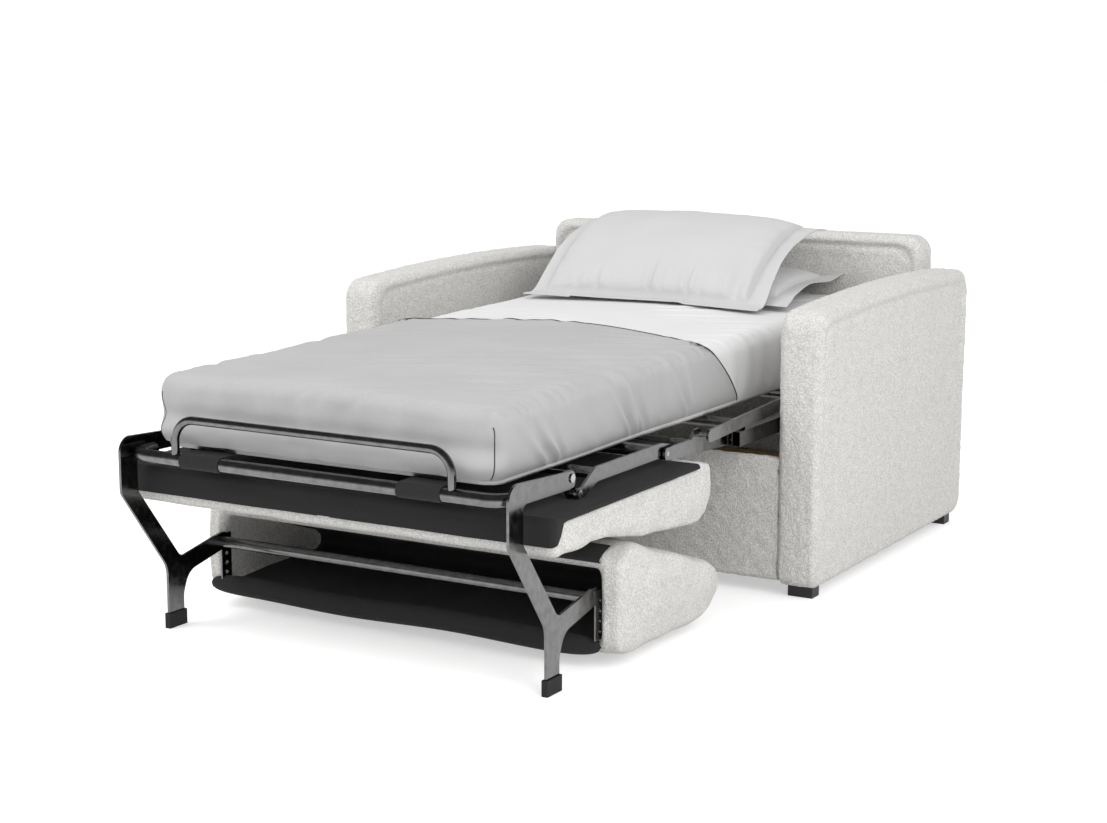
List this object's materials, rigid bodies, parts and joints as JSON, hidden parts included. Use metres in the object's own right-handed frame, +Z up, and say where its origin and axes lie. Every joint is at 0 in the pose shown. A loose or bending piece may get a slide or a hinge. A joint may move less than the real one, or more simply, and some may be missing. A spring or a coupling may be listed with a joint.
{
  "type": "convertible chair bed",
  "caption": "Padded chair with arms whose black steel frame unfolds on Y-shaped legs into a single bed, made up with a grey blanket, white sheet and two pillows.",
  "frame": {"origin": "on the floor, at the middle of the open bed's outline seen from above", "axes": "+Z up, +X to the right seen from the foot of the bed, the bed opens towards -Y"},
  "size_m": [1.33, 2.04, 0.8278],
  "materials": {
    "boucle": "looped off-white boucle",
    "timber": "plain sawn timber",
    "black_steel": "gloss black powder coat",
    "rivet_steel": "bright zinc plated",
    "black_plastic": "matt black",
    "rubber": "matt black",
    "black_lining": "thin non-woven lining",
    "black_webbing": "woven webbing",
    "white_sheet": "smooth white cotton",
    "grey_blanket": "light grey quilt cotton",
    "white_pillowcase": "smooth white cotton"
  },
  "bodies": {
    "chair": {"left_arm_cover": "boucle", "right_arm_cover": "boucle", "left_arm_frame": "timber", "right_arm_frame": "timber", "back_cover": "boucle", "back_frame": "timber", "front_rail": "boucle", "rear_rail": "timber", "left_base_rail": "black_steel", "right_base_rail": "black_steel", "chair_glides": "black_plastic", "swing_pivot_pins": "rivet_steel"},
    "front_arms": {"left_front_swing_arm": "black_steel", "right_front_swing_arm": "black_steel", "link_rear_pins": "rivet_steel"},
    "rear_arms": {"left_rear_swing_arm": "black_steel", "right_rear_swing_arm": "black_steel"},
    "upper_links": {"left_upper_link": "black_steel", "right_upper_link": "black_steel"},
    "middle_frame": {"middle_frame": "black_steel", "middle_pins": "rivet_steel", "head_hinge_rod": "black_steel", "webbing_middle": "black_webbing", "mattress_middle": "white_sheet"},
    "knee_frame": {"left_knee_bar": "black_steel", "right_knee_bar": "black_steel", "knee_bar_pins": "rivet_steel", "knee_cross_tube": "black_steel", "webbing_knee": "black_webbing", "mattress_knee": "white_sheet", "blanket_knee": "grey_blanket"},
    "seat_frame": {"left_seat_bar": "black_steel", "right_seat_bar": "black_steel", "seat_deck_tubes": "black_steel", "left_coupler": "black_steel", "right_coupler": "black_steel", "leg_pivot_pins": "rivet_steel", "seat_rivets": "rivet_steel", "seat_cushion": "boucle", "seat_lining": "black_lining", "webbing_seat": "black_webbing", "mattress_seat": "white_sheet", "blanket_seat": "grey_blanket"},
    "leg_frame": {"left_leg": "black_steel", "right_leg": "black_steel", "foot_tube": "black_steel", "mattress_stop": "black_steel", "leg_cross_tube": "black_steel", "leg_caps": "rubber", "cushion_brackets": "black_steel", "back_cushion": "boucle", "hollow_lining": "black_lining", "webbing_leg": "black_webbing", "mattress_leg": "white_sheet", "blanket_leg": "grey_blanket"},
    "head_frame": {"head_frame": "black_steel", "webbing_head": "black_webbing", "mattress_head": "white_sheet", "front_pillow": "white_pillowcase", "rear_pillow": "white_pillowcase"}
  },
  "joints": [
    {"name": "bed_fold", "type": "hinge", "parent": "chair", "child": "front_arms", "pos_m": [0, 0.218, 0.115], "axis": [-1, 0, 0], "range_deg": [0, 104.1], "deforming": ["blanket_knee", "blanket_leg", "blanket_seat", "mattress_head", "mattress_knee", "mattress_leg", "mattress_middle", "mattress_seat", "webbing_head", "webbing_knee", "webbing_leg", "webbing_middle", "webbing_seat", "front_pillow", "rear_pillow"]},
    {"name": "rear_arm_swing", "type": "hinge", "parent": "chair", "child": "rear_arms", "pos_m": [0, 0.593, 0.115], "axis": [-1, 0, 0], "range_deg": [0, 104.12]},
    {"name": "middle_frame_level", "type": "hinge", "parent": "front_arms", "child": "middle_frame", "pos_m": [0, 0.169, 0.395], "axis": [1, 0, 0], "range_deg": [0, 104.12]},
    {"name": "upper_link_swing", "type": "hinge", "parent": "front_arms", "child": "upper_links", "pos_m": [0, 0.136, 0.448], "axis": [1, 0, 0], "range_deg": [0, 79.28]},
    {"name": "knee_fold", "type": "hinge", "parent": "middle_frame", "child": "knee_frame", "pos_m": [0, -0.077, 0.392], "axis": [-1, 0, 0], "range_deg": [0, 59.82]},
    {"name": "seat_fold", "type": "hinge", "parent": "knee_frame", "child": "seat_frame", "pos_m": [0, -0.397, 0.412], "axis": [-1, 0, 0], "range_deg": [0, 120.22]},
    {"name": "leg_fold", "type": "hinge", "parent": "seat_frame", "child": "leg_frame", "pos_m": [0, -0.781, 0.427], "axis": [-1, 0, 0], "range_deg": [0, 80.02]},
    {"name": "head_fold", "type": "hinge", "parent": "middle_frame", "child": "head_frame", "pos_m": [0, 0.5, 0.3945], "axis": [1, 0, 0], "range_deg": [0, 90.02]}
  ],
  "couplings": [
    {"joint": "rear_arm_swing", "follows": "bed_fold", "ratio": 1},
    {"joint": "middle_frame_level", "follows": "bed_fold", "ratio": 1},
    {"joint": "upper_link_swing", "follows": "bed_fold", "ratio": 0.76138},
    {"joint": "knee_fold", "follows": "bed_fold", "ratio": 0.57445},
    {"joint": "seat_fold", "follows": "bed_fold", "ratio": 1.1547},
    {"joint": "leg_fold", "follows": "bed_fold", "ratio": 0.76849},
    {"joint": "head_fold", "follows": "bed_fold", "ratio": 0.86455}
  ]
}
